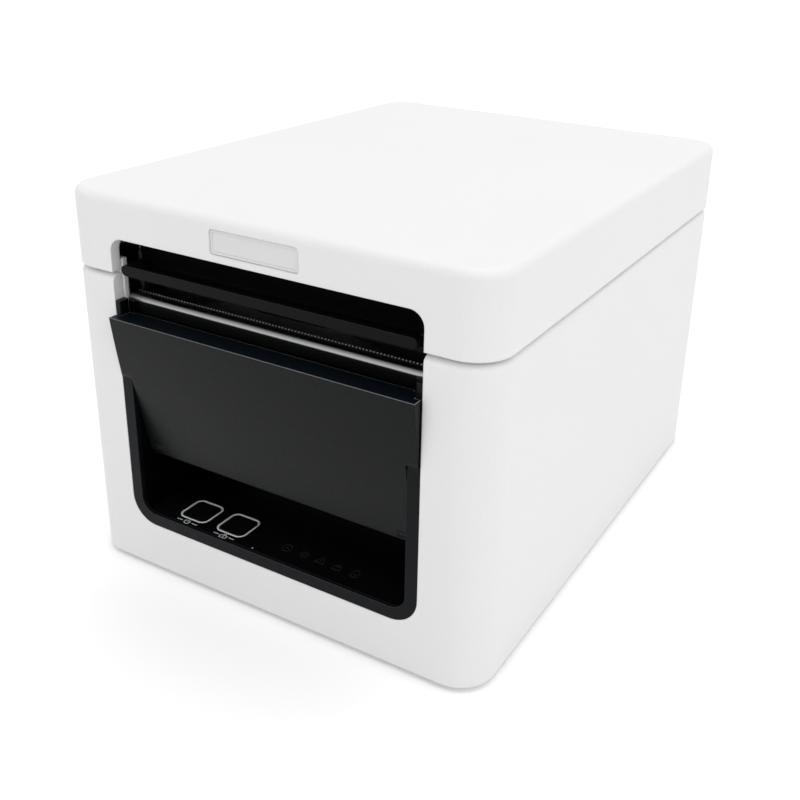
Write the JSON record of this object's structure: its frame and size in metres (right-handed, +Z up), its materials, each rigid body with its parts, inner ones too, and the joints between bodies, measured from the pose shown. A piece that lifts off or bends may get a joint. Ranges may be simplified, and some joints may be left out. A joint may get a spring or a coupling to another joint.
{
  "type": "receipt printer",
  "caption": "Compact receipt printer in a white case, with a hinged lid, a front paper exit, a black cutter cover and two keys in a recess, around a geared print mechanism.",
  "frame": {"origin": "centre of the bounding box's underside, at the level the feet stand on", "axes": "+X to the printer's right as seen from its front, +Y from the front to the back, +Z up"},
  "size_m": [0.13, 0.172, 0.112],
  "materials": {
    "white_plastic": "fine matte moulded texture",
    "black_plastic": "satin",
    "cover_plastic": "satin, faintly textured",
    "bar_plastic": "satin",
    "gloss_black": "polished",
    "light_plastic": "translucent white",
    "circuit_board": "solder mask",
    "dark_parts": "moulded",
    "socket_metal": "bright plated",
    "polished_steel": "ground",
    "sheet_steel": "zinc plated",
    "knife_steel": "ground",
    "spring_steel": "drawn wire",
    "screw_steel": "zinc plated",
    "head_aluminium": "milled",
    "head_ceramic": "glazed ceramic",
    "flat_cable": "flexible film",
    "motor_steel": "plated can",
    "brass": "hobbed",
    "nylon": "natural moulded",
    "platen_rubber": "ground rubber",
    "foot_rubber": "moulded",
    "base_steel": "black painted sheet"
  },
  "bodies": {
    "case": {"lower_case": "white_plastic", "front_bezel": "black_plastic", "control_panel": "gloss_black", "key_light_rings": "light_plastic", "key_board": "circuit_board", "key_switches": "dark_parts", "icon_light_guide": "light_plastic", "exit_strip": "polished_steel", "tear_bar": "polished_steel", "release_studs": "polished_steel", "release_springs": "spring_steel", "left_side_frame": "sheet_steel", "right_side_frame": "sheet_steel", "frame_cross_plate": "sheet_steel", "head_pivot_rod": "polished_steel", "head_springs": "spring_steel", "head_flat_cable": "flat_cable", "cutter_frame": "sheet_steel", "cutter_back_plate": "sheet_steel", "cutter_motor": "motor_steel", "feed_motor": "motor_steel", "idler_stud": "polished_steel", "inner_deck": "black_plastic", "roll_bay": "black_plastic", "paper_sensor": "dark_parts", "cover_switch": "dark_parts", "main_board": "circuit_board", "board_components": "dark_parts", "power_inlet": "dark_parts", "network_socket": "socket_metal", "drawer_socket": "socket_metal", "usb_socket": "socket_metal", "base_plate": "base_steel", "rubber_feet": "foot_rubber", "base_screws": "screw_steel", "board_screws": "screw_steel", "frame_screws": "screw_steel"},
    "lid": {"lid": "white_plastic", "name_plate": "white_plastic", "platen_carrier": "black_plastic", "carrier_screws": "screw_steel", "fixed_knife": "knife_steel", "platen_bushes": "nylon", "hinge_pins": "polished_steel"},
    "platen": {"platen_roller": "platen_rubber", "platen_shaft": "polished_steel", "platen_gear": "nylon"},
    "pinion": {"motor_shaft": "polished_steel", "motor_pinion": "brass"},
    "idler": {"idler_gear": "nylon"},
    "release_bar": {"release_bar": "bar_plastic"},
    "cutter_cover": {"cutter_cover": "cover_plastic", "cutter_cover_pins": "polished_steel"},
    "power_key": {"power_key": "gloss_black"},
    "feed_key": {"feed_key": "gloss_black"},
    "print_head": {"print_head": "head_ceramic", "head_bracket": "head_aluminium"},
    "knife": {"moving_knife": "knife_steel", "knife_rack": "brass"},
    "cutter_pinion": {"cutter_pinion": "brass"}
  },
  "joints": [
    {"name": "lid_hinge", "type": "hinge", "parent": "case", "child": "lid", "pos_m": [0, 0.0834, 0.0902], "axis": [-1, 0, 0], "range_deg": [0, 95]},
    {"name": "platen_spin", "type": "hinge", "parent": "lid", "child": "platen", "pos_m": [0, -0.058, 0.0935], "axis": [1, 0, 0], "continuous": true},
    {"name": "pinion_spin", "type": "hinge", "parent": "case", "child": "pinion", "pos_m": [0, -0.03401, 0.05999], "axis": [1, 0, 0], "continuous": true},
    {"name": "idler_spin", "type": "hinge", "parent": "case", "child": "idler", "pos_m": [0, -0.05211, 0.07023], "axis": [1, 0, 0], "continuous": true},
    {"name": "release_pull", "type": "hinge", "parent": "case", "child": "release_bar", "pos_m": [0, -0.068, 0.062], "axis": [1, 0, 0], "range_deg": [0, 10], "stiffness_Nm_per_rad": 0.5, "springref_deg": -11.46},
    {"name": "cover_hinge", "type": "hinge", "parent": "case", "child": "cutter_cover", "pos_m": [0, -0.0764, 0.0387], "axis": [1, 0, 0], "range_deg": [0, 70]},
    {"name": "power_press", "type": "slide", "parent": "case", "child": "power_key", "axis": [0, 0, -1], "range_m": [0, 0.0006], "stiffness_N_per_m": 400, "springref_m": -0.0006},
    {"name": "feed_press", "type": "slide", "parent": "case", "child": "feed_key", "axis": [0, 0, -1], "range_m": [0, 0.0006], "stiffness_N_per_m": 400, "springref_m": -0.0006},
    {"name": "head_rock", "type": "hinge", "parent": "case", "child": "print_head", "pos_m": [0, -0.052, 0.0795], "axis": [1, 0, 0], "range_deg": [0, 2], "stiffness_Nm_per_rad": 8, "springref_deg": -1.72},
    {"name": "cutter_spin", "type": "hinge", "parent": "case", "child": "cutter_pinion", "pos_m": [-0.0228, 0, 0.056], "axis": [0, -1, 0], "range_deg": [0, 74]},
    {"name": "knife_rise", "type": "slide", "parent": "case", "child": "knife", "axis": [0, 0, 1], "range_m": [0, 0.008]}
  ],
  "couplings": [
    {"joint": "idler_spin", "follows": "platen_spin", "ratio": -0.66667},
    {"joint": "pinion_spin", "follows": "platen_spin", "ratio": 1.5},
    {"joint": "cutter_spin", "follows": "knife_rise", "rad_per_m": 156.25}
  ]
}
